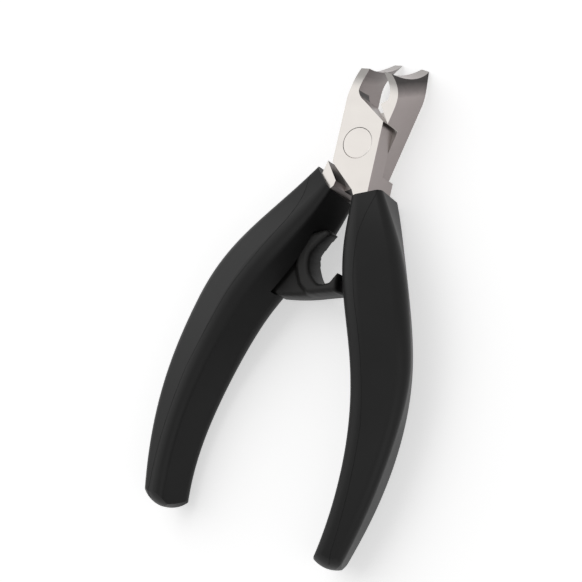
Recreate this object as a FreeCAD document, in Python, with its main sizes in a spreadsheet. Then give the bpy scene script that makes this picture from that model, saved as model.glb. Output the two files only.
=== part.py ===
import FreeCAD, Part
import math
import os
import Sketcher
from FreeCAD import Placement, Rotation, Vector

# Cuticle nipper with a lap joint, oblique concave jaws, moulded grips and a moulded return spring.
#
# Frame: +X to the right, +Y from the handles to the jaws, +Z towards the front plate.
# The origin is on the pivot axis, in the flat rear face of the joint. Millimetres.
# Every blank is drawn with the jaws closed, about the middle plane of the joint. Each finished
# piece is then turned about the pivot to the open pose in which the tool rests.

SIZES = [
    # joint
    ("body_width", 12.0, "width of both halves across the joint"),
    ("stack_depth", 12.0, "depth of the two laps together"),
    ("lap_gap", 0.04, "running gap between the laps"),
    ("open_angle", 12.84, "angle between the halves at rest"),
    ("rivet_head", 8.25, "diameter of the flush front head of the rivet"),
    ("rivet_head_deep", 2.0, "depth of the front head"),
    ("rear_head", 7.0, "diameter of the flush rear head of the rivet"),
    ("rear_head_deep", 1.5, "depth of the rear head"),
    ("rivet_edge", 0.15, "chamfer of the rivet heads"),
    ("rivet_shank", 5.0, "diameter of the rivet shank"),
    ("rivet_gap", 0.03, "running gap round the rivet in the front half"),
    # laps
    ("lap_corner_y", -5.6, "outer low corner of a lap"),
    ("lap_foot_y", -12.3, "where a lap meets the tang"),
    ("lap_shoulder_y", 6.15, "outer high corner of a lap"),
    ("throat_floor_x", 0.94, "end of the straight top edge of a lap"),
    ("throat_floor_y", 11.32, "height of that point"),
    ("throat_round", 4.2, "radius at the foot of the throat"),
    ("throat_wall_y", 14.5, "where the throat wall becomes straight"),
    # jaws
    ("jaw_shoulder_y", 7.1, "outer low corner of a jaw"),
    ("jaw_beak_x", 1.7, "inner low corner of a jaw"),
    ("jaw_beak_y", 11.3, "height of that corner"),
    ("neck_wall", 3.2, "half width of the throat"),
    ("near_tip_y", 19.1, "height of the front tip of the edges"),
    ("far_tip_y", 25.7, "height of the rear tip of the edges"),
    ("edge_reach", 8.2, "reach of the edges to the front and the rear"),
    ("edge_sag", 1.35, "hollow of the edges below the line between their tips"),
    ("edge_gap", 0.03, "gap left at an edge with the jaws closed"),
    ("land_width", 2.4, "width of the land at the tips"),
    ("claw_bend_y", 13.5, "where the outside of a claw starts to curve"),
    ("near_flare_height", 5.4, "height of the flare at the front"),
    ("far_flare_height", 6.7, "height of the flare at the rear"),
    ("bevel_width", 1.5, "how far the inner bevel leans back"),
    ("bevel_height", 1.8, "height of the inner bevel"),
    ("hollow_height", 6.6, "height of the hollow behind the edges"),
    # tangs
    ("tang_inner_x", 1.4, "inner side of a tang at its shoulder"),
    ("tang_shoulder_y", -6.9, "outer end of the tang shoulder"),
    ("tang_step_y", -11.0, "inner end of the tang shoulder"),
    ("tang_neck_x", 2.3, "inner side of a tang at its neck"),
    ("tang_neck_y", -14.0, "where a tang starts to taper"),
    # grips
    ("rim_inner_y", -14.8, "height of the grip rim on the middle plane between the grips"),
    ("left_rim_y", -8.2, "height of the left rim at the outside"),
    ("right_rim_y", -11.5, "height of the right rim at the outside"),
    ("rim_width", 9.5, "distance between those two heights"),
    ("grip_end_y", -106.4, "end of the grips"),
    ("end_middle_x", 15.1, "middle of the round end of a grip, across"),
    ("end_middle_z", -1.4, "middle of the round end, in depth"),
    ("end_round_wide", 5.2, "radius of the round end as seen from the front"),
    ("end_round_deep", 7.5, "radius of the round end about the grip's own middle"),
    # seam between the two parts of a grip, on its front
    ("seam_plane", 7.0, "height of the plane on which the seam is drawn"),
    ("seam_lean", 0.385, "lean of the seam across, for one of depth"),
    ("seam_x_one", 8.98, "seam at the rim"),
    ("seam_y_one", -13.33, "seam at the rim"),
    ("seam_x_two", 6.9, "seam where it leaves the collar"),
    ("seam_y_two", -24.9, "seam where it leaves the collar"),
    ("seam_x_three", 11.59, "seam above the middle"),
    ("seam_y_three", -43.93, "seam above the middle"),
    ("seam_x_four", 19.05, "seam below the middle"),
    ("seam_y_four", -70.6, "seam below the middle"),
    ("seam_x_five", 18.2, "seam near the end"),
    ("seam_y_five", -102.0, "seam near the end"),
    ("seam_round_one", 33.4, "radius of the seam along the collar"),
    ("seam_round_two", 66.0, "radius of the seam below the collar"),
    ("seam_round_three", 132.0, "radius of the seam along the middle"),
    ("seam_round_four", 150.0, "radius of the seam towards the end"),
    # spring, drawn with the left grip
    ("spring_depth", 8.6, "depth of the return spring"),
    ("spring_lift", 0.1, "middle of the spring, towards the front"),
    ("spring_top_x", 0.8, "top of the spring"),
    ("spring_top_y", -23.2, "top of the spring"),
    ("taper_y", -34.5, "where the rear of the spring starts to taper towards its top"),
    ("taper_rise", 4.2, "how far the taper has risen just beyond the top"),
    ("tip_flat_x", 1.9, "flat at the top of the spring, across"),
    ("tip_flat_y", 0.6, "how far that flat falls"),
    ("tip_round", 24.0, "radius from the flat into the hook"),
    ("hook_x", -0.8, "innermost point of the hook"),
    ("hook_y", -30.2, "innermost point of the hook"),
    ("hook_round", 7.2, "radius of the hook"),
    ("hook_low_x", 4.8, "lowest point inside the hook"),
    ("hook_low_y", -36.9, "lowest point inside the hook"),
    ("hook_low_round", 5.5, "radius at the foot of the hook"),
    ("lip_x", 7.7, "where the hook meets the beak"),
    ("lip_y", -35.3, "where the hook meets the beak"),
    ("beak_top_x", 8.5, "upper corner of the beak"),
    ("beak_top_y", -32.6, "upper corner of the beak"),
    ("beak_low_x", 10.8, "lower corner of the beak"),
    ("beak_low_y", -36.6, "lower corner of the beak"),
    ("beak_corner", 0.9, "radius of the corners of the beak"),
    ("beak_top_fall", 0.1, "how far the upper corner falls"),
    ("beak_low_fall", 0.7, "how far the lower corner falls"),
    ("belly_x", 5.6, "where the spring's belly starts"),
    ("belly_y", -39.3, "where the spring's belly starts"),
    ("belly_round", 60.0, "radius of the belly"),
    ("heel_x", -6.4, "foot of the spring root"),
    ("heel_y", -43.8, "foot of the spring root"),
    ("heel_flat_x", 2.6, "end of the root, across"),
    ("heel_flat_y", 0.8, "how far that end rises"),
    ("back_x_one", -7.4, "back of the spring inside the left grip"),
    ("back_y_one", -37.0, "back of the spring inside the left grip"),
    ("back_x_two", -5.6, "back of the spring beside the left grip"),
    ("back_y_two", -30.0, "back of the spring beside the left grip"),
    ("back_x_three", -2.6, "back of the spring below its top"),
    ("back_y_three", -25.2, "back of the spring below its top"),
]

# Sections of a grip, from the rim to the end: height, middle across and in depth, width, how much
# deeper it is than the joint, corner radius and turn about the grip's own length.
GRIP_SECTIONS = [
    (-7.0, 3.3, 0.0, 6.8, 1.4, 1.6, -6.0),
    (-14.0, 5.7, 0.0, 9.4, 1.9, 2.2, -7.6),
    (-27.0, 9.4, 1.4, 15.2, 3.7, 3.6, -21.5),
    (-40.0, 13.9, 2.5, 16.8, 4.2, 4.0, -23.5),
    (-55.0, 18.1, 1.3, 15.5, 2.8, 3.6, -22.9),
    (-70.0, 19.7, 0.0, 12.5, 2.4, 3.0, -17.9),
    (-86.0, 18.8, -0.6, 9.7, 1.4, 2.6, -15.4),
    (-97.0, 16.6, -1.1, 8.2, 0.5, 2.5, -16.7),
    (-107.4, 13.3, -1.9, 7.2, -0.1, 2.4, -19.3),
]

# Sections of a tang from its neck to its end: height, middle across, width and depth.
TANG_SECTIONS = [
    (-13.9, 4.1, 3.3, 11.0),
    (-19.0, 6.7, 4.4, 10.0),
    (-28.0, 10.4, 4.8, 9.0),
    (-41.0, 15.2, 4.6, 7.6),
    (-58.0, 19.0, 4.0, 6.0),
]

doc = FreeCAD.newDocument("CuticleNipper")
sheet = doc.addObject("Spreadsheet::Sheet", "Sizes")


class Size:
    """A length with the sheet expression that gives it."""

    def __init__(self, value, text):
        self.value = value
        self.text = text

    def joined(self, sign, other, value):
        text = other.text if isinstance(other, Size) else repr(other)
        return Size(value, "(%s %s %s)" % (self.text, sign, text))

    def __add__(self, other):
        return self.joined("+", other, self.value + number(other))

    def __sub__(self, other):
        return self.joined("-", other, self.value - number(other))

    def __mul__(self, other):
        return self.joined("*", other, self.value * number(other))

    def __truediv__(self, other):
        return self.joined("/", other, self.value / number(other))

    def __neg__(self):
        return Size(-self.value, "(-1 * %s)" % self.text)


def number(size):
    return size.value if isinstance(size, Size) else size


def root(size):
    return Size(math.sqrt(size.value), "sqrt(%s)" % size.text)


def fill_sheet():
    """Write every driving dimension to the sheet and return them by name."""
    rows = [(name, value) for name, value, _ in SIZES]
    for index, section in enumerate(GRIP_SECTIONS, 1):
        for word, value in zip(("y", "mid_x", "mid_z", "wide", "extra", "corner", "turn"), section):
            rows.append(("grip_%s_%s" % (word, LETTERS[index]), value))
    for index, section in enumerate(TANG_SECTIONS, 1):
        for word, value in zip(("y", "mid_x", "wide", "deep"), section):
            rows.append(("tang_%s_%s" % (word, LETTERS[index]), value))
    found = {}
    for line, (name, value) in enumerate(rows, 1):
        sheet.set("A%d" % line, name)
        sheet.set("B%d" % line, repr(value))
        sheet.setAlias("B%d" % line, name)
        found[name] = Size(value, "Sizes.%s" % name)
    doc.recompute()
    return found


LETTERS = ["none", "one", "two", "three", "four", "five", "six", "seven", "eight",
           "nine"]
S = fill_sheet()
HALF_WIDTH = S["body_width"] / 2
HALF_STACK = S["stack_depth"] / 2


def bind(thing, prop, size):
    """Give a property its value from the sheet."""
    thing.setExpression(prop, size.text)


def origin_plane(body, role):
    return [f for f in body.Origin.OriginFeatures if f.Role == role][0]


def new_sketch(body, name, role, lift=None, shift=None, turn=None):
    """A sketch on an origin plane of its body, lifted, shifted and turned by sheet sizes."""
    sketch = body.newObject("Sketcher::SketchObject", name)
    sketch.AttachmentSupport = [(origin_plane(body, role), "")]
    sketch.MapMode = "FlatFace"
    if lift is not None:
        bind(sketch, "AttachmentOffset.Base.z", lift)
    if shift is not None:
        bind(sketch, "AttachmentOffset.Base.x", shift[0])
        bind(sketch, "AttachmentOffset.Base.y", shift[1])
    if turn is not None:
        bind(sketch, "AttachmentOffset.Rotation.Angle", turn)
    return sketch


def arc_between(start, end, radius, side):
    """An arc from start to end that turns left (side 1) or right (side -1)."""
    chord = end.sub(start)
    rise = math.sqrt(max(radius ** 2 - (chord.Length / 2) ** 2, 0.0))
    across = Vector(-chord.y, chord.x, 0).normalize().multiply(rise * side)
    centre = start.add(chord.multiply(0.5)).add(across)
    first, last = (start, end) if side > 0 else (end, start)
    angles = [math.atan2(p.y - centre.y, p.x - centre.x) for p in (first, last)]
    return Part.ArcOfCircle(Part.Circle(centre, Vector(0, 0, 1), radius), *angles)


def draw(sketch, corners):
    """Draw a closed outline. A corner is (x, y), or (x, y, radius, side) where an arc leaves it."""
    points = [Vector(number(c[0]), number(c[1]), 0) for c in corners]
    edges = []
    for i, corner in enumerate(corners):
        start = points[i]
        end = points[(i + 1) % len(points)]
        if len(corner) == 2:
            edges.append((sketch.addGeometry(Part.LineSegment(start, end)), 1, 2))
        else:
            arc = arc_between(start, end, number(corner[2]), corner[3])
            ends = (1, 2) if corner[3] > 0 else (2, 1)
            edges.append((sketch.addGeometry(arc),) + ends)
    for i, corner in enumerate(corners):
        edge, start, _ = edges[i]
        before, _, end = edges[i - 1]
        sketch.addConstraint(Sketcher.Constraint("Coincident", before, end, edge, start))
        for kind, size in (("DistanceX", corner[0]), ("DistanceY", corner[1])):
            at = sketch.addConstraint(Sketcher.Constraint(kind, -1, 1, edge, start, number(size)))
            if isinstance(size, Size):
                sketch.setExpression("Constraints[%d]" % at, size.text)
        if len(corner) > 2:
            at = sketch.addConstraint(Sketcher.Constraint("Radius", edge, number(corner[2])))
            if isinstance(corner[2], Size):
                sketch.setExpression("Constraints[%d]" % at, corner[2].text)


def rounded_rectangle(wide, deep, corner):
    """Corners of a rounded rectangle about the origin."""
    x = wide / 2
    y = deep / 2
    return [
        (x, -y + corner),
        (x, y - corner, corner, 1),
        (x - corner, y),
        (-x + corner, y, corner, 1),
        (-x, y - corner),
        (-x, -y + corner, corner, 1),
        (-x + corner, -y),
        (x - corner, -y, corner, 1),
    ]


def rectangle(left, right, low, high):
    return [(left, low), (right, low), (right, high), (left, high)]


def pad(body, sketch, length, midplane=True, reverse=False, along=None):
    feature = body.newObject("PartDesign::Pad", "Pad")
    feature.Profile = sketch
    bind(feature, "Length", length)
    feature.Midplane = midplane
    feature.Reversed = reverse
    if along is not None:
        feature.UseCustomVector = True
        feature.AlongSketchNormal = True
        bind(feature, "Direction.x", along[0])
        bind(feature, "Direction.y", along[1])
        bind(feature, "Direction.z", along[2])
    doc.recompute()
    return feature


def pocket_through(body, sketch):
    feature = body.newObject("PartDesign::Pocket", "Pocket")
    feature.Profile = sketch
    feature.Type = "ThroughAll"
    feature.Midplane = True
    doc.recompute()
    return feature


def pocket(body, sketch, length, reverse):
    feature = body.newObject("PartDesign::Pocket", "Pocket")
    feature.Profile = sketch
    bind(feature, "Length", length)
    feature.Reversed = reverse
    doc.recompute()
    return feature


# The edges lie on an arc in the middle plane between the jaws. Its middle is above the jaws.
CHORD_RISE = (S["far_tip_y"] - S["near_tip_y"]) / 2
HALF_CHORD = root(CHORD_RISE * CHORD_RISE + S["edge_reach"] * S["edge_reach"])
EDGE_ROUND = (HALF_CHORD * HALF_CHORD + S["edge_sag"] * S["edge_sag"]) / (S["edge_sag"] * 2)
EDGE_LIFT = (EDGE_ROUND - S["edge_sag"]) / HALF_CHORD
EDGE_MIDDLE_Y = (S["far_tip_y"] + S["near_tip_y"]) / 2 + EDGE_LIFT * S["edge_reach"]
EDGE_MIDDLE_Z = EDGE_LIFT * CHORD_RISE
EDGE_LEVEL = (S["far_tip_y"] + S["near_tip_y"]) / 2


def claw(body, side):
    """The blade of one jaw: an oblique prism with its edge on the plane between the jaws."""
    sketch = new_sketch(body, "ClawOutline", "XY_Plane")
    bend = EDGE_LEVEL - S["claw_bend_y"]
    narrowing = HALF_WIDTH - S["land_width"]
    outer_round = (narrowing * narrowing + bend * bend) / (narrowing * 2)
    top = EDGE_LEVEL + 1.0
    foot = Size(2.0, "2")
    edge = S["edge_gap"]
    outline = [
        (edge * side, foot),
        (HALF_WIDTH * side, foot),
        (HALF_WIDTH * side, S["claw_bend_y"], outer_round, side),
        (S["land_width"] * side, EDGE_LEVEL),
        (S["land_width"] * side, top),
        (edge * side, top),
    ]
    draw(sketch, outline)
    length = (S["edge_reach"] + 2.0) * 2
    lean = -(CHORD_RISE / S["edge_reach"])
    pad(body, sketch, length, along=(Size(0.0, "0"), lean, Size(1.0, "1")))


def blade_sides(body):
    """Trim the claw to its flared sides and to the hollow arc of its land."""
    sketch = new_sketch(body, "BladeSides", "YZ_Plane")
    reach = S["edge_reach"] - HALF_STACK
    near = S["near_flare_height"]
    far = S["far_flare_height"]
    near_round = (near * near + reach * reach) / (reach * 2)
    far_round = (far * far + reach * reach) / (reach * 2)
    # drawn with Y across and Z up
    low = Size(-3.0, "-3")
    draw(sketch, [
        (low, HALF_STACK),
        (low, -HALF_STACK),
        (S["far_tip_y"] - far, -HALF_STACK, far_round, -1),
        (S["far_tip_y"], -S["edge_reach"], EDGE_ROUND, -1),
        (S["near_tip_y"], S["edge_reach"], near_round, -1),
        (S["near_tip_y"] - near, HALF_STACK),
    ])
    margin = S["edge_reach"] * 2
    draw(sketch, rectangle(low - 2.0, S["far_tip_y"] + 6.0, -margin, margin))
    pocket_through(body, sketch)


def blade_hollow(body, side):
    """Turn the inner bevel and the hollow behind it about the middle of the edge's arc."""
    sketch = new_sketch(body, "BladeHollow", "XY_Plane", lift=EDGE_MIDDLE_Z)
    edge_y = EDGE_MIDDLE_Y - EDGE_ROUND
    bevel_y = edge_y - S["bevel_height"]
    wall_y = edge_y - S["hollow_height"]
    edge = S["edge_gap"]
    drop = bevel_y - wall_y
    step = S["neck_wall"] - S["bevel_width"]
    hollow_round = (drop * drop + step * step) / (step * 2)
    deep = S["far_tip_y"]
    past = -S["neck_wall"] * side
    draw(sketch, [
        (edge * side, edge_y),
        (past, edge_y),
        (past, wall_y - deep),
        (S["neck_wall"] * side, wall_y - deep),
        (S["neck_wall"] * side, wall_y, hollow_round, side),
        (S["bevel_width"] * side, bevel_y),
    ])
    reach = number(HALF_WIDTH)
    level = number(EDGE_MIDDLE_Y)
    line = Part.LineSegment(Vector(-reach, level, 0), Vector(reach, level, 0))
    axis = sketch.addGeometry(line, True)
    sketch.addConstraint(Sketcher.Constraint("Horizontal", axis))
    at = sketch.addConstraint(Sketcher.Constraint("DistanceY", -1, 1, axis, 1, level))
    sketch.setExpression("Constraints[%d]" % at, EDGE_MIDDLE_Y.text)
    groove = body.newObject("PartDesign::Groove", "Groove")
    groove.Profile = sketch
    groove.ReferenceAxis = (sketch, ["Axis0"])
    groove.Angle = 360
    doc.recompute()


def jaw(body, side):
    """One jaw over the full depth of the joint, on the side given: -1 left, 1 right."""
    claw(body, side)
    blade_sides(body)
    blade_hollow(body, side)
    cut = new_sketch(body, "BelowShoulder", "XY_Plane")
    slope = (S["jaw_beak_y"] - S["jaw_shoulder_y"]) / (HALF_WIDTH - S["jaw_beak_x"])
    low = S["lap_corner_y"] - HALF_WIDTH
    outer = S["body_width"]
    inner = -S["neck_wall"]
    draw(cut, [
        (inner * side, low),
        (outer * side, low),
        (outer * side, S["jaw_shoulder_y"] - slope * (outer - HALF_WIDTH)),
        (inner * side, S["jaw_shoulder_y"] + slope * (HALF_WIDTH - inner)),
    ])
    pocket_through(body, cut)
    foot = new_sketch(body, "JawFoot", "XY_Plane")
    inner = S["neck_wall"] + 1.0
    draw(foot, [
        (HALF_WIDTH * side, S["jaw_shoulder_y"]),
        (HALF_WIDTH * side, S["jaw_shoulder_y"] + 2.4),
        (inner * side, S["jaw_beak_y"] + 1.6),
        (S["neck_wall"] * side, S["jaw_beak_y"] + 1.6),
        (S["jaw_beak_x"] * side, S["jaw_beak_y"]),
    ])
    pad(body, foot, S["stack_depth"])


def lap(body, side):
    """The lap of one half, in its own half of the depth. side is the side of its jaw."""
    sketch = new_sketch(body, "LapOutline", "XY_Plane", lift=S["lap_gap"] / 2 * -side)
    across = -side
    draw(sketch, [
        (HALF_WIDTH * side, S["lap_corner_y"]),
        (HALF_WIDTH * side, S["jaw_shoulder_y"] + 1.0),
        (S["neck_wall"] * side, S["throat_wall_y"], S["throat_round"], across),
        (S["throat_floor_x"] * side, S["throat_floor_y"]),
        (HALF_WIDTH * across, S["lap_shoulder_y"]),
        (HALF_WIDTH * across, S["tang_neck_y"]),
        (S["tang_neck_x"] * across, S["tang_neck_y"]),
        (S["tang_inner_x"] * across, S["lap_foot_y"]),
    ])
    pad(body, sketch, HALF_STACK - S["lap_gap"] / 2, midplane=False, reverse=side > 0)


def shoulder(body, side):
    """The tang's full depth from its shoulder down to where it starts to taper."""
    sketch = new_sketch(body, "TangShoulder", "XY_Plane")
    across = -side
    draw(sketch, [
        (HALF_WIDTH * across, S["tang_shoulder_y"]),
        (S["tang_inner_x"] * across, S["tang_step_y"]),
        (S["tang_inner_x"] * across, S["lap_foot_y"]),
        (S["tang_neck_x"] * across, S["tang_neck_y"]),
        (HALF_WIDTH * across, S["tang_neck_y"]),
    ])
    pad(body, sketch, S["stack_depth"])


def loft(body, sketches):
    feature = body.newObject("PartDesign::AdditiveLoft", "Loft")
    feature.Profile = sketches[0]
    feature.Sections = sketches[1:]
    doc.recompute()


def tang(body, side):
    """The tapered tang inside the grip. side is the side of the jaw, the tang lies across."""
    sketches = []
    for word in LETTERS[1:len(TANG_SECTIONS) + 1]:
        wide = S["tang_wide_" + word] / 2
        deep = S["tang_deep_" + word] / 2
        shift = (S["tang_mid_x_" + word] * -side, Size(0.0, "0"))
        sketch = new_sketch(body, "TangSection", "XZ_Plane", -S["tang_y_" + word], shift)
        draw(sketch, rectangle(-wide, wide, -deep, deep))
        sketches.append(sketch)
    loft(body, sketches)


def round_pocket(body, diameter, length, lift, reverse):
    sketch = new_sketch(body, "RoundPocket", "XY_Plane", lift=lift)
    circle = sketch.addGeometry(Part.Circle(Vector(0, 0, 0), Vector(0, 0, 1), diameter.value / 2))
    sketch.addConstraint(Sketcher.Constraint("Coincident", circle, 3, -1, 1))
    at = sketch.addConstraint(Sketcher.Constraint("Diameter", circle, diameter.value))
    sketch.setExpression("Constraints[%d]" % at, diameter.text)
    return pocket(body, sketch, length, reverse)


def rest_pose(piece, side):
    """Turn a piece of one half about the pivot to the open pose and lift it to the frame."""
    piece.Placement = Placement(Vector(0, 0, 0), Rotation(Vector(0, 0, -side), 1))
    bind(piece, "Placement.Base.z", HALF_STACK)
    bind(piece, "Placement.Rotation.Angle", S["open_angle"] / 2)


def steel_half(label, side):
    """One half of the tool in one piece: jaw, lap and tang."""
    body = doc.addObject("PartDesign::Body", label)
    body.Label = label
    rest_pose(body, side)
    jaw(body, side)
    lap(body, side)
    shoulder(body, side)
    tang(body, side)
    return body


def rivet_seat(body, side):
    """Bore and countersink of one half. The rivet turns in the front half only."""
    front = side < 0
    gap = S["rivet_gap"] * 2 if front else Size(0.0, "0")
    bore = S["rivet_shank"] + gap
    head = S["rivet_head"] + gap if front else S["rear_head"]
    deep = S["rivet_head_deep"] + S["rivet_gap"] if front else S["rear_head_deep"]
    round_pocket(body, bore, S["stack_depth"], HALF_STACK, False)
    if front:
        round_pocket(body, head, deep, HALF_STACK, False)
    else:
        round_pocket(body, head, deep, -HALF_STACK, True)


def rivet():
    """The rivet: a flush head at the front, the shank and a smaller flush head at the rear."""
    body = doc.addObject("PartDesign::Body", "pivot_rivet")
    body.Label = "pivot_rivet"
    rest_pose(body, 1)
    sketch = new_sketch(body, "RivetOutline", "XZ_Plane")
    zero = Size(0.0, "0")
    edge = S["rivet_edge"]
    head = S["rivet_head"] / 2
    shank = S["rivet_shank"] / 2
    rear = S["rear_head"] / 2
    step = HALF_STACK - S["rivet_head_deep"]
    draw(sketch, [
        (zero, -HALF_STACK),
        (rear - edge, -HALF_STACK),
        (rear, -HALF_STACK + edge),
        (rear, -HALF_STACK + S["rear_head_deep"]),
        (shank, -HALF_STACK + S["rear_head_deep"]),
        (shank, step),
        (head, step),
        (head, HALF_STACK - edge),
        (head - edge, HALF_STACK),
        (zero, HALF_STACK),
    ])
    turned = body.newObject("PartDesign::Revolution", "Revolution")
    turned.Profile = sketch
    turned.ReferenceAxis = (sketch, ["V_Axis"])
    turned.Angle = 360
    doc.recompute()
    return body


def round_end(body, side):
    """Round the end of a grip, as seen from the front and about its own middle."""
    low = S["grip_end_y"]
    middle = S["end_middle_x"] * side
    wide = S["end_round_wide"]
    across = new_sketch(body, "EndAcross", "XY_Plane")
    draw(across, [
        (middle - wide * 3.0, low + wide),
        (middle - wide, low + wide, wide, 1),
        (middle, low, wide, 1),
        (middle + wide, low + wide),
        (middle + wide * 3.0, low + wide),
        (middle + wide * 3.0, low - wide),
        (middle - wide * 3.0, low - wide),
    ])
    pocket_through(body, across)
    deep = S["end_round_deep"]
    axis = Size(0.0, "0")
    shift = (middle, axis)
    around = new_sketch(body, "EndAround", "XY_Plane", lift=S["end_middle_z"], shift=shift)
    draw(around, [
        (axis, low, deep, 1),
        (deep, low + deep),
        (deep * 2.0, low + deep),
        (deep * 2.0, low - deep),
        (axis, low - deep),
    ])
    groove = body.newObject("PartDesign::Groove", "Groove")
    groove.Profile = around
    groove.ReferenceAxis = (around, ["V_Axis"])
    groove.Angle = 360.0
    doc.recompute()


def grip_blank(name, side):
    """The whole outside of one grip. side is the side on which it lies: -1 left, 1 right."""
    body = doc.addObject("PartDesign::Body", name)
    rest_pose(body, -side)
    sketches = []
    for word in LETTERS[1:len(GRIP_SECTIONS) + 1]:
        shift = (S["grip_mid_x_" + word] * side, S["grip_mid_z_" + word])
        turn = S["grip_turn_" + word] * side
        sketch = new_sketch(body, "GripSection", "XZ_Plane", -S["grip_y_" + word], shift, turn)
        wide = S["grip_wide_" + word]
        deep = S["stack_depth"] + S["grip_extra_" + word]
        draw(sketch, rounded_rectangle(wide, deep, S["grip_corner_" + word]))
        sketches.append(sketch)
    loft(body, sketches)
    round_end(body, side)
    rim = new_sketch(body, "RimLine", "XY_Plane")
    inner_x = Size(-8.0, "-8")
    outer_x = Size(24.0, "24")
    outer_y = S["left_rim_y"] if side < 0 else S["right_rim_y"]
    slope = (outer_y - S["rim_inner_y"]) / S["rim_width"]
    draw(rim, [
        (inner_x * side, S["rim_inner_y"] + slope * inner_x),
        (outer_x * side, S["rim_inner_y"] + slope * outer_x),
        (outer_x * side, Size(12.0, "12")),
        (inner_x * side, Size(12.0, "12")),
    ])
    pocket_through(body, rim)
    return body


def inlay_region(name, side):
    """The inner side of a grip, as far as its seam. The seam leans with the grip's sections."""
    body = doc.addObject("PartDesign::Body", name)
    rest_pose(body, -side)
    sketch = new_sketch(body, "SeamLine", "XY_Plane", lift=S["seam_plane"])
    low = S["grip_end_y"] - 4.0
    inner = Size(-12.0, "-12")
    draw(sketch, [
        (inner * side, Size(-6.0, "-6")),
        (S["seam_x_one"] * side + 0.8 * side, Size(-6.0, "-6")),
        (S["seam_x_one"] * side, S["seam_y_one"], S["seam_round_one"], side),
        (S["seam_x_two"] * side, S["seam_y_two"], S["seam_round_two"], side),
        (S["seam_x_three"] * side, S["seam_y_three"], S["seam_round_three"], -side),
        (S["seam_x_four"] * side, S["seam_y_four"], S["seam_round_four"], -side),
        (S["seam_x_five"] * side, S["seam_y_five"]),
        (S["seam_x_five"] * side, low),
        (inner * side, low),
    ])
    along = (S["seam_lean"] * side, Size(0.0, "0"), Size(1.0, "1"))
    pad(body, sketch, Size(44.0, "44"), along=along)
    return body


def combine(kind, name, base, tool):
    feature = doc.addObject(kind, name)
    feature.Base = base
    feature.Tool = tool
    doc.recompute()
    return feature


def spring_blank(name):
    """The hooked return spring. Its root lies in the left grip, its beak on the right grip."""
    body = doc.addObject("PartDesign::Body", name)
    rest_pose(body, 1)
    sketch = new_sketch(body, "SpringOutline", "XY_Plane", lift=S["spring_lift"])
    corner = S["beak_corner"]
    draw(sketch, [
        (S["spring_top_x"], S["spring_top_y"]),
        (S["spring_top_x"] + S["tip_flat_x"], S["spring_top_y"] - S["tip_flat_y"], S["tip_round"], 1),
        (S["hook_x"], S["hook_y"], S["hook_round"], 1),
        (S["hook_low_x"], S["hook_low_y"], S["hook_low_round"], 1),
        (S["lip_x"], S["lip_y"]),
        (S["beak_top_x"], S["beak_top_y"], corner, -1),
        (S["beak_top_x"] + corner, S["beak_top_y"] - S["beak_top_fall"]),
        (S["beak_low_x"], S["beak_low_y"], corner, -1),
        (S["beak_low_x"] - corner, S["beak_low_y"] - S["beak_low_fall"]),
        (S["belly_x"], S["belly_y"], S["belly_round"], -1),
        (S["heel_x"], S["heel_y"]),
        (S["heel_x"] - S["heel_flat_x"], S["heel_y"] + S["heel_flat_y"]),
        (S["back_x_one"], S["back_y_one"]),
        (S["back_x_two"], S["back_y_two"]),
        (S["back_x_three"], S["back_y_three"]),
    ])
    pad(body, sketch, S["spring_depth"])
    taper = new_sketch(body, "TipTaper", "YZ_Plane")
    rear = S["spring_lift"] - S["spring_depth"] / 2
    draw(taper, [
        (S["taper_y"], rear),
        (S["spring_top_y"] + 1.0, rear + S["taper_rise"]),
        (S["spring_top_y"] + 1.0, rear - 1.0),
        (S["taper_y"], rear - 1.0),
    ])
    pocket_through(body, taper)
    return body


def grips(word, side, half, cut_by):
    """Both parts of one grip, hollowed for the tang."""
    blank = combine("Part::Cut", word + "_hollowed", grip_blank(word + "_blank", side), half)
    for tool in cut_by:
        blank = combine("Part::Cut", word + "_relieved", blank, tool)
    inlay = combine("Part::Common", word + "_grip_inlay", blank, inlay_region(word + "_seam", side))
    shell = combine("Part::Cut", word + "_grip_shell", blank, inlay_region(word + "_cut", side))
    inlay.Label = word + "_grip_inlay"
    shell.Label = word + "_grip_shell"
    return [inlay, shell]


def check_and_write(pieces):
    """Stop if anything in the document failed, otherwise write one file for each piece."""
    doc.recompute()
    for thing in doc.Objects:
        if "Invalid" in thing.State or "Error" in thing.State:
            raise RuntimeError("%s is %s" % (thing.Name, thing.State))
    for piece in pieces:
        if piece.Shape.isNull() or not piece.Shape.isValid() or len(piece.Shape.Solids) != 1:
            raise RuntimeError("%s is not one valid solid" % piece.Label)
    os.makedirs("parts", exist_ok=True)
    for piece in pieces:
        piece.Shape.exportStep("parts/%s.step" % piece.Label)
        box = piece.Shape.BoundBox
        print("%-18s %8.1f mm3  x %.2f %.2f  y %.2f %.2f  z %.2f %.2f" % (
            piece.Label, piece.Shape.Volume, box.XMin, box.XMax, box.YMin, box.YMax,
            box.ZMin, box.ZMax))


front_half = steel_half("front_half", -1)
rivet_seat(front_half, -1)
rear_half = steel_half("rear_half", 1)
rivet_seat(rear_half, 1)
pivot_rivet = rivet()
spring = spring_blank("spring_tongue")
spring.Label = "spring_tongue"
right_parts = grips("right", 1, front_half, [])
left_parts = grips("left", -1, rear_half, [spring])
check_and_write([front_half, rear_half, pivot_rivet, spring] + right_parts + left_parts)
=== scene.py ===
import math

import bmesh
import bpy
from mathutils import Matrix, Vector, geometry
from mathutils.bvhtree import BVHTree


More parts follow.
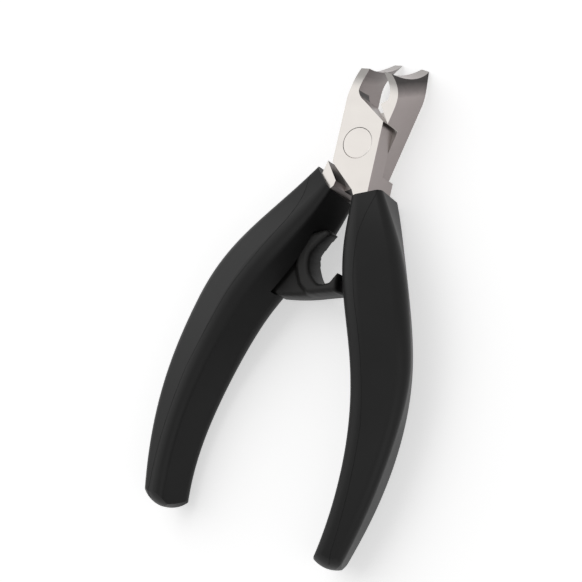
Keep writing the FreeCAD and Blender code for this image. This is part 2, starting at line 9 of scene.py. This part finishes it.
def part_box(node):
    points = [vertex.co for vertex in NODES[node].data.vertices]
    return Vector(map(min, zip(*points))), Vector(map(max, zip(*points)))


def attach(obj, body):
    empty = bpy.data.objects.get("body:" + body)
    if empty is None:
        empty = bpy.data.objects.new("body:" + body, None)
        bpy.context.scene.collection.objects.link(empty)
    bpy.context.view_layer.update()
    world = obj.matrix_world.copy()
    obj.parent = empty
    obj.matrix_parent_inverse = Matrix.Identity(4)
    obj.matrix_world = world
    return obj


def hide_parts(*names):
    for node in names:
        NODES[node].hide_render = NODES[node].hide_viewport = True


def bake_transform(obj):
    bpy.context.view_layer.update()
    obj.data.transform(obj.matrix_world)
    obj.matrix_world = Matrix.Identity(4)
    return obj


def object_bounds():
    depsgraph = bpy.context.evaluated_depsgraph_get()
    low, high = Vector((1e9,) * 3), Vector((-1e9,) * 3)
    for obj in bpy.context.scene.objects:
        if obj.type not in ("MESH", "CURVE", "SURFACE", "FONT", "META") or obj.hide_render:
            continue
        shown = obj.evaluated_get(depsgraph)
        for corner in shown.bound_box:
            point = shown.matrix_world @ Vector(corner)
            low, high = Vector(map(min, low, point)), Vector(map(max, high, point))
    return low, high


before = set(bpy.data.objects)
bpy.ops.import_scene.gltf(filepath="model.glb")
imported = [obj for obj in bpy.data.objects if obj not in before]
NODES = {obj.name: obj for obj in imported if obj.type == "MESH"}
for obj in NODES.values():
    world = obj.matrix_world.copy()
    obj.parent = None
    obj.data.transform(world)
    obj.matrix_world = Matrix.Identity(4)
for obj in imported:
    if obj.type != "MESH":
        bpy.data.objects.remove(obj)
cad_low, cad_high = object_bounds()

# Lengths are metres unless a comment says millimetres. +Y runs from the grips to the jaws and +Z
# to the front of the tool.
MM = 0.001

# ---------------------------------------------------------------- camera
# The camera was fitted to the lap plates, the rivet and the outlines of the grips. Its turn is an
# axis times an angle, its offset runs from the middle plane of the joint, in millimetres.
PICTURE = 582.0
FOCAL_PIXELS = 1746.6
SENSOR = 36.0
CAMERA_TURN = (1.35427, 0.64029, -0.19381)
CAMERA_OFFSET = (19.834, -36.405, 450.0)
MIDDLE_PLANE = 6.0


def turn_matrix(vector):
    """Rotation matrix of a turn given as axis times angle."""
    v = Vector(vector)
    return Matrix.Rotation(v.length, 3, v.normalized())


def make_camera():
    """A camera that sees the tool as in the photograph."""
    to_tool = Matrix(((1, 0, 0), (0, 0, -1), (0, 1, 0)))
    turn = turn_matrix(CAMERA_TURN)
    look = turn @ to_tool
    middle = Vector((0, MIDDLE_PLANE, 0))
    offset = turn @ middle + Vector(CAMERA_OFFSET)
    place = -(look.transposed() @ offset) * MM
    axes = look.transposed() @ Matrix(((1, 0, 0), (0, -1, 0), (0, 0, -1)))
    data = bpy.data.cameras.new("Camera")
    data.sensor_width = SENSOR
    data.lens = SENSOR * FOCAL_PIXELS / PICTURE
    data.clip_start = 0.01
    data.clip_end = 10.0
    camera = bpy.data.objects.new("Camera", data)
    camera.matrix_world = Matrix.Translation(place) @ axes.to_4x4()
    bpy.context.scene.collection.objects.link(camera)
    bpy.context.scene.camera = camera


# ---------------------------------------------------------------- materials
# Steel, with light and shade painted by the way a surface faces. A stop of SIDE_SHADE_BANDS is how
# far a side leans along +Y and the share of its level it keeps: painted shade and painted
# reflection, dark where a side leans in.
# The two ranges of DEPTH are how far a surface faces the front or the rear; the front gets the
# brighter painted level.
SIDE_SHADE_BANDS = [(-0.75, 0.12), (-0.50, 0.60), (-0.30, 0.95), (0.12, 1.0), (0.26, 0.50),
              (0.42, 0.12), (0.64, 0.10), (0.74, 1.0)]
SIDE_TINT = (1.0, 0.89, 0.87)
FLARE_DEPTH = (0.40, 0.65)
FRONT_DEPTH = (0.955, 0.998)
FLARE_WARMTH = 0.04
FRONT_WARMTH = 0.05
GRIND_SCALE = 420.0
GRIND_STRETCH = (0.10, 1.0, 1.0)
GRIND_BUMP = (0.08, 0.1 * MM)
STEEL_CLOUDS = 160.0
# Plastic
GRAIN_SCALE = 2600.0
GRAIN_BUMP = (0.08, 0.05 * MM)
PLASTIC_CLOUDS = 90.0
PLASTIC_SHINE = 0.20


def new_material(name):
    """An empty material with a Principled shader."""
    material = bpy.data.materials.new(name)
    material.use_nodes = True
    tree = material.node_tree
    tree.nodes.clear()
    output = tree.nodes.new("ShaderNodeOutputMaterial")
    shader = tree.nodes.new("ShaderNodeBsdfPrincipled")
    tree.links.new(shader.outputs["BSDF"], output.inputs["Surface"])
    return material, tree, shader


def noise(tree, scale, detail, stretch=None):
    """Noise in object space, stretched along an axis if asked."""
    where = tree.nodes.new("ShaderNodeTexCoord")
    texture = tree.nodes.new("ShaderNodeTexNoise")
    texture.inputs["Scale"].default_value = scale
    texture.inputs["Detail"].default_value = detail
    if stretch is None:
        tree.links.new(where.outputs["Object"], texture.inputs["Vector"])
    else:
        mapping = tree.nodes.new("ShaderNodeMapping")
        mapping.inputs["Scale"].default_value = stretch
        tree.links.new(where.outputs["Object"], mapping.inputs["Vector"])
        tree.links.new(mapping.outputs["Vector"], texture.inputs["Vector"])
    return texture.outputs["Fac"]


def leaning(tree, axis):
    """How far a surface of the tool leans along one of the tool's own axes, from -1 to 1."""
    where = tree.nodes.new("ShaderNodeTexCoord")
    split = tree.nodes.new("ShaderNodeSeparateXYZ")
    tree.links.new(where.outputs["Normal"], split.inputs["Vector"])
    return split.outputs[axis]


def size_of(tree, value):
    """A value without its sign."""
    node = tree.nodes.new("ShaderNodeMath")
    node.operation = "ABSOLUTE"
    tree.links.new(value, node.inputs[0])
    return node.outputs["Value"]


def rescaled(tree, value, start=(0.0, 1.0), to=(0.0, 1.0)):
    """A value moved from one range to another and held within it."""
    node = tree.nodes.new("ShaderNodeMapRange")
    node.inputs["From Min"].default_value = start[0]
    node.inputs["From Max"].default_value = start[1]
    node.inputs["To Min"].default_value = to[0]
    node.inputs["To Max"].default_value = to[1]
    tree.links.new(value, node.inputs["Value"])
    return node.outputs["Result"]


def grey(value, warm=0.0):
    """A grey, warmer with more red and less blue."""
    return (value * (1 + warm), value, value * (1 - warm), 1.0)


def color_stops(tree, value, stops):
    """A colour that follows a value from 0 to 1 through a list of places and colours."""
    node = tree.nodes.new("ShaderNodeValToRGB")
    points = node.color_ramp.elements
    while len(points) < len(stops):
        points.new(0.5)
    for point, (place, color) in zip(points, stops):
        point.position = place
        point.color = color
    tree.links.new(value, node.inputs["Fac"])
    return node.outputs["Color"]


def clouded(tree, cloud, low, high):
    """A colour that drifts between two with a noise."""
    return color_stops(tree, cloud, [(0.3, low), (0.7, high)])


def painted_side_shade(tree, level):
    """Painted shade and painted reflection on the sides of the steel, darker where they lean in.
    """
    stops = []
    for lean, share in SIDE_SHADE_BANDS:
        shade = [level * share * tint for tint in SIDE_TINT]
        stops.append(((lean + 1) / 2, (*shade, 1.0)))
    value = rescaled(tree, leaning(tree, "Y"), start=(-1.0, 1.0))
    return color_stops(tree, value, stops)


def mixed(tree, factor, low, high):
    """A colour between two, by a factor."""
    mix = tree.nodes.new("ShaderNodeMix")
    mix.data_type = "RGBA"
    tree.links.new(factor, mix.inputs["Factor"])
    tree.links.new(low, mix.inputs[6])
    tree.links.new(high, mix.inputs[7])
    return mix.outputs[2]


def bump(tree, shader, height, amount):
    """Relief from a height, with an amount of strength and distance."""
    node = tree.nodes.new("ShaderNodeBump")
    node.inputs["Strength"].default_value = amount[0]
    node.inputs["Distance"].default_value = amount[1]
    tree.links.new(height, node.inputs["Height"])
    tree.links.new(node.outputs["Normal"], shader.inputs["Normal"])


def steel(name, front, side, rough):
    """Satin steel with fine grinding lines. The flat front gets a brighter painted level than the
    sides: one steel painted lit and shaded by its facing.
    The sides carry painted shade and painted reflection where they curve in below the lands and
    under the shoulders."""
    material, tree, shader = new_material(name)
    lines = noise(tree, GRIND_SCALE, 3.0, GRIND_STRETCH)
    cloud = noise(tree, STEEL_CLOUDS, 2.0)
    # Painted light and shade by facing: front faces take the front level, half-turned faces the
    # side level, and sides the painted shade bands.
    depth = size_of(tree, leaning(tree, "Z"))
    flare = clouded(tree, cloud, grey(side * 0.95, FLARE_WARMTH), grey(side * 1.05, FLARE_WARMTH))
    plate = clouded(tree, cloud, grey(front * 0.97, FRONT_WARMTH), grey(front, FRONT_WARMTH))
    turned = mixed(tree, rescaled(tree, depth, start=FLARE_DEPTH), painted_side_shade(tree, side), flare)
    whole = mixed(tree, rescaled(tree, depth, start=FRONT_DEPTH), turned, plate)
    tree.links.new(whole, shader.inputs["Base Color"])
    roughness = rescaled(tree, lines, to=(rough - 0.05, rough + 0.07))
    tree.links.new(roughness, shader.inputs["Roughness"])
    shader.inputs["Metallic"].default_value = 1.0
    bump(tree, shader, lines, GRIND_BUMP)
    return material


def plastic(name, level, rough, warm=0.0):
    """Black moulded plastic with a fine grain."""
    material, tree, shader = new_material(name)
    cloud = noise(tree, PLASTIC_CLOUDS, 2.0)
    color = clouded(tree, cloud, grey(level * 0.85, warm), grey(level * 1.15, warm))
    tree.links.new(color, shader.inputs["Base Color"])
    roughness = rescaled(tree, cloud, to=(rough - 0.04, rough + 0.04))
    tree.links.new(roughness, shader.inputs["Roughness"])
    shader.inputs["Specular IOR Level"].default_value = PLASTIC_SHINE
    bump(tree, shader, noise(tree, GRAIN_SCALE, 2.0), GRAIN_BUMP)
    return material


# Painted light and shade: front is the lit level and side the painted shade level of the same
# steel. The rivet's sides are painted brighter than its front, a painted highlight on its ring.
STEEL = steel("SatinSteel", front=0.43, side=0.335, rough=0.30)
RIVET = steel("RivetSteel", front=0.44, side=0.70, rough=0.32)
GRIP = plastic("GripBlack", level=0.007, rough=0.42)
INLAY = plastic("GripInlay", level=0.008, rough=0.46)
SPRING = plastic("SpringPlastic", level=0.013, rough=0.46, warm=0.03)
SEAM = plastic("SeamShadow", level=0.003, rough=0.70)


def paint(obj, material):
    """Give a piece one material."""
    obj.data.materials.clear()
    obj.data.materials.append(material)
    for face in obj.data.polygons:
        face.material_index = 0


def smooth(obj, degrees):
    """Smooth shading up to an angle between faces."""
    obj.data.shade_smooth()
    obj.data.set_sharp_from_angle(angle=math.radians(degrees))


paint(NODES["front_half"], STEEL)
paint(NODES["rear_half"], STEEL)
paint(NODES["pivot_rivet"], RIVET)
for side in ("left", "right"):
    paint(NODES[side + "_grip_shell"], GRIP)
    paint(NODES[side + "_grip_inlay"], INLAY)


# ---------------------------------------------------------------- seams
# Above the end of the tang the front of a grip lies beyond the tang's own depth, and the edges
# inside the hollow are left out by their height.
SEAM_RADIUS = 0.14 * MM
SEAM_SINK = 0.10 * MM
SEAM_END = -103.0 * MM
SEAM_ANGLE = math.radians(30)
SEAM_REACH = 0.05 * MM
TANG_END = -58.0 * MM
HEIGHT_BESIDE_TANG = 12.1 * MM
HEIGHT_BEYOND_TANG = 7.0 * MM


def on_the_front(edge):
    """Whether an edge lies on the front of a grip, clear of its hollow and of its end."""
    a, b = (knot.co for knot in edge.verts)
    height = HEIGHT_BESIDE_TANG if a.y > TANG_END else HEIGHT_BEYOND_TANG
    return min(a.z, b.z) >= height and min(a.y, b.y) >= SEAM_END


def seam_edges(side):
    """The sharp edges on the front of a grip along which its two mouldings meet."""
    inlay = NODES[side + "_grip_inlay"].data
    other = BVHTree.FromPolygons([v.co for v in inlay.vertices],
                                 [tuple(face.vertices) for face in inlay.polygons])
    shell = bmesh.new()
    shell.from_mesh(NODES[side + "_grip_shell"].data)
    bmesh.ops.remove_doubles(shell, verts=shell.verts, dist=0.001 * MM)
    found = []
    for edge in shell.edges:
        if len(edge.link_faces) != 2 or not on_the_front(edge):
            continue
        a, b = (knot.co.copy() for knot in edge.verts)
        gap = other.find_nearest((a + b) / 2)[3]
        if edge.calc_face_angle() > SEAM_ANGLE and gap < SEAM_REACH:
            found.append((a, b))
    shell.free()
    return found


def make_seam(side, body):
    """The fine dark joint between the two mouldings of a grip."""
    curve = bpy.data.curves.new(side + "_grip_seam", "CURVE")
    curve.dimensions = "3D"
    curve.bevel_depth = SEAM_RADIUS
    curve.bevel_resolution = 1
    for edge in seam_edges(side):
        line = curve.splines.new("POLY")
        line.points.add(1)
        for knot, place in zip(line.points, edge):
            knot.co = (place.x, place.y, place.z - SEAM_SINK, 1.0)
    shape = bpy.data.objects.new(side + "_grip_seam", curve)
    bpy.context.scene.collection.objects.link(shape)
    graph = bpy.context.evaluated_depsgraph_get()
    mesh = bpy.data.meshes.new_from_object(shape.evaluated_get(graph))
    bpy.data.objects.remove(shape)
    piece = bpy.data.objects.new(side + "_grip_seam", mesh)
    bpy.context.scene.collection.objects.link(piece)
    paint(piece, SEAM)
    smooth(piece, 60)
    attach(piece, body)


# ---------------------------------------------------------------- spring
# The inside of the hook is drawn in the frame of the closed tool, in millimetres, and the spring
# is turned with the left grip. The hook has a raised rim along its inside and a lower web behind.
HALF_OPEN = math.radians(6.42)
HOOK_INSIDE = [(2.7, -23.8), (0.2, -27.2), (-0.8, -30.2), (0.1, -33.4), (2.1, -35.8),
               (4.8, -36.9), (7.7, -35.3), (8.5, -32.6)]
SPRING_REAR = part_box("spring_tongue")[0].z / MM
SPRING_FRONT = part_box("spring_tongue")[1].z / MM
TAPER_START = -34.5
TAPER_SLOPE = 4.2 / 12.3
EDGE_ROUND = 1.1
RIM_WIDTH = 3.1
WEB_DROP = 1.4
WEB_FADE = 1.3
OUTLINE_STEP = 0.45 * MM
FILL_STEP = 0.5 * MM
FILL_MARGIN = 0.2 * MM


def to_closed(x, y):
    """From the open pose, in metres, to the closed tool, in millimetres."""
    c = math.cos(HALF_OPEN)
    s = math.sin(HALF_OPEN)
    return Vector(((x * c - y * s) / MM, (x * s + y * c) / MM))


def distance_to_line(point, line):
    """Least distance of a point to an open line."""
    best = 1e9
    for a, b in zip(line, line[1:]):
        near, share = geometry.intersect_point_line(point, a, b)
        place = near.xy if 0.0 <= share <= 1.0 else (Vector(a) if share < 0.0 else Vector(b))
        best = min(best, (point - place).length)
    return best


def spring_outline():
    """The front outline of the solid spring, in metres, with points close together."""
    shape = bmesh.new()
    shape.from_mesh(NODES["spring_tongue"].data)
    bmesh.ops.remove_doubles(shape, verts=shape.verts, dist=1e-6)
    bmesh.ops.dissolve_limit(shape, angle_limit=math.radians(1.0), verts=shape.verts,
                             edges=shape.edges)
    front = max(shape.faces, key=lambda f: (f.normal.z > 0.9) * f.calc_area())
    corners = [v.co.xy.copy() for v in front.verts]
    shape.free()
    outline = []
    for a, b in zip(corners, corners[1:] + corners[:1]):
        count = max(1, round((b - a).length / OUTLINE_STEP))
        outline += [a.lerp(b, k / count) for k in range(count)]
    return outline


def filled(outline):
    """Points and triangles that fill an outline evenly."""
    ring = outline + outline[:1]
    points = list(outline)
    low_x = min(p.x for p in outline)
    low_y = min(p.y for p in outline)
    columns = int((max(p.x for p in outline) - low_x) / FILL_STEP)
    rows = int((max(p.y for p in outline) - low_y) / FILL_STEP)
    for row in range(1, rows + 1):
        for column in range(1, columns + 1):
            across = (column + 0.5 * (row % 2)) * FILL_STEP
            place = Vector((low_x + across, low_y + row * FILL_STEP))
            if distance_to_line(place, ring) > FILL_MARGIN:
                points.append(place)
    edges = [(k, (k + 1) % len(outline)) for k in range(len(outline))]
    made = geometry.delaunay_2d_cdt(points, edges, [], 1, 1e-7)
    return made[0], made[2]


def spring_depths(point, ring):
    """How far the rear and the front of the spring lie in depth at a point of its outline."""
    x, y = to_closed(point.x, point.y)
    edge = min(distance_to_line(point, ring) / MM, EDGE_ROUND)
    rounding = EDGE_ROUND - math.sqrt(EDGE_ROUND ** 2 - (EDGE_ROUND - edge) ** 2)
    behind = distance_to_line(Vector((x, y)), HOOK_INSIDE) - RIM_WIDTH
    share = min(max(behind / WEB_FADE, 0.0), 1.0)
    web = WEB_DROP * share * share * (3.0 - 2.0 * share)
    rear = SPRING_REAR + max(0.0, y - TAPER_START) * TAPER_SLOPE
    return (rear + rounding) * MM, (SPRING_FRONT - rounding - web) * MM


def spring_mesh():
    """The spring with rounded edges, closed round its outline."""
    outline = spring_outline()
    ring = outline + outline[:1]
    points, triangles = filled(outline)
    depths = [spring_depths(point, ring) for point in points]
    shape = bmesh.new()
    front = [shape.verts.new((p.x, p.y, high)) for p, (_, high) in zip(points, depths)]
    rear = [shape.verts.new((p.x, p.y, low)) for p, (low, _) in zip(points, depths)]
    for triangle in triangles:
        shape.faces.new([front[k] for k in triangle])
        shape.faces.new([rear[k] for k in reversed(triangle)])
    for edge in [e for e in shape.edges if e.is_boundary and e.verts[0] in set(front)]:
        a, b = (front.index(v) for v in edge.verts)
        shape.faces.new((front[a], front[b], rear[b], rear[a]))
    bmesh.ops.recalc_face_normals(shape, faces=shape.faces)
    mesh = bpy.data.meshes.new("spring_hook")
    shape.to_mesh(mesh)
    shape.free()
    return mesh


def make_spring():
    """The hooked tongue, curved between the two grips."""
    piece = bpy.data.objects.new("spring_hook", spring_mesh())
    bpy.context.scene.collection.objects.link(piece)
    paint(piece, SPRING)
    smooth(piece, 50)
    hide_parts("spring_tongue")
    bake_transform(piece)


make_spring()
make_seam("right", "front")
make_seam("left", "rear")


# ---------------------------------------------------------------- stage
WHITE = (1, 1, 1, 1)
FLOOR_LIFT = 0.54
FLOOR_SIZE = 4.0
FLOOR_GAP = 0.4 * MM
AMBIENT = 0.24
LAMP_TARGET = Vector((0, -0.03, 0))


def seen_directly(tree):
    """1 for what the camera sees, also in a mirror or through glass, and 0 for other light."""
    path = tree.nodes.new("ShaderNodeLightPath")
    factor = path.outputs["Is Camera Ray"]
    for name in ("Is Glossy Ray", "Is Transmission Ray"):
        larger = tree.nodes.new("ShaderNodeMath")
        larger.operation = "MAXIMUM"
        tree.links.new(factor, larger.inputs[0])
        tree.links.new(path.outputs[name], larger.inputs[1])
        factor = larger.outputs["Value"]
    return factor


def lift_to_white(tree, shader):
    """Adds a little plain light to what is seen of the floor. Shadows stay."""
    glow = tree.nodes.new("ShaderNodeEmission")
    glow.inputs["Color"].default_value = WHITE
    lift = rescaled(tree, seen_directly(tree), to=(0.0, FLOOR_LIFT))
    tree.links.new(lift, glow.inputs["Strength"])
    total = tree.nodes.new("ShaderNodeAddShader")
    tree.links.new(shader.outputs["BSDF"], total.inputs[0])
    tree.links.new(glow.outputs["Emission"], total.inputs[1])
    output = tree.nodes["Material Output"]
    tree.links.new(total.outputs["Shader"], output.inputs["Surface"])


def make_floor():
    """A plain pale floor just under the tool."""
    bpy.ops.mesh.primitive_plane_add(size=FLOOR_SIZE, location=(0, 0, cad_low.z - FLOOR_GAP))
    floor = bpy.context.object
    floor.name = "Floor"
    material, tree, shader = new_material("FloorWhite")
    color = clouded(tree, noise(tree, 3.0, 1.0), grey(0.89), grey(0.91))
    tree.links.new(color, shader.inputs["Base Color"])
    shader.inputs["Roughness"].default_value = 1.0
    shader.inputs["Specular IOR Level"].default_value = 0.0
    lift_to_white(tree, shader)
    floor.data.materials.append(material)


def area_lamp(name, place, size, power):
    """A rectangular lamp that faces the tool."""
    data = bpy.data.lights.new(name, "AREA")
    data.shape = "RECTANGLE"
    data.size = size[0]
    data.size_y = size[1]
    data.energy = power
    lamp = bpy.data.objects.new(name, data)
    direction = LAMP_TARGET - Vector(place)
    lamp.location = place
    lamp.rotation_mode = "QUATERNION"
    lamp.rotation_quaternion = direction.to_track_quat("-Z", "Y")
    bpy.context.scene.collection.objects.link(lamp)


def background(tree, strength):
    """Plain white light of a strength, all around."""
    node = tree.nodes.new("ShaderNodeBackground")
    node.inputs["Color"].default_value = WHITE
    node.inputs["Strength"].default_value = strength
    return node.outputs["Background"]


def make_world():
    """Soft light all around, seen as plain white."""
    world = bpy.data.worlds.new("World")
    bpy.context.scene.world = world
    world.use_nodes = True
    tree = world.node_tree
    tree.nodes.clear()
    output = tree.nodes.new("ShaderNodeOutputWorld")
    mix = tree.nodes.new("ShaderNodeMixShader")
    tree.links.new(seen_directly(tree), mix.inputs["Fac"])
    tree.links.new(background(tree, AMBIENT), mix.inputs[1])
    tree.links.new(background(tree, 1.0), mix.inputs[2])
    tree.links.new(mix.outputs["Shader"], output.inputs["Surface"])


make_camera()
make_floor()
make_world()
area_lamp("Key", place=(-0.36, 0.12, 0.52), size=(0.9, 0.9), power=2.2)
area_lamp("Fill", place=(0.5, -0.1, 0.3), size=(0.3, 0.5), power=0.4)
bpy.context.scene.view_settings.view_transform = "Standard"
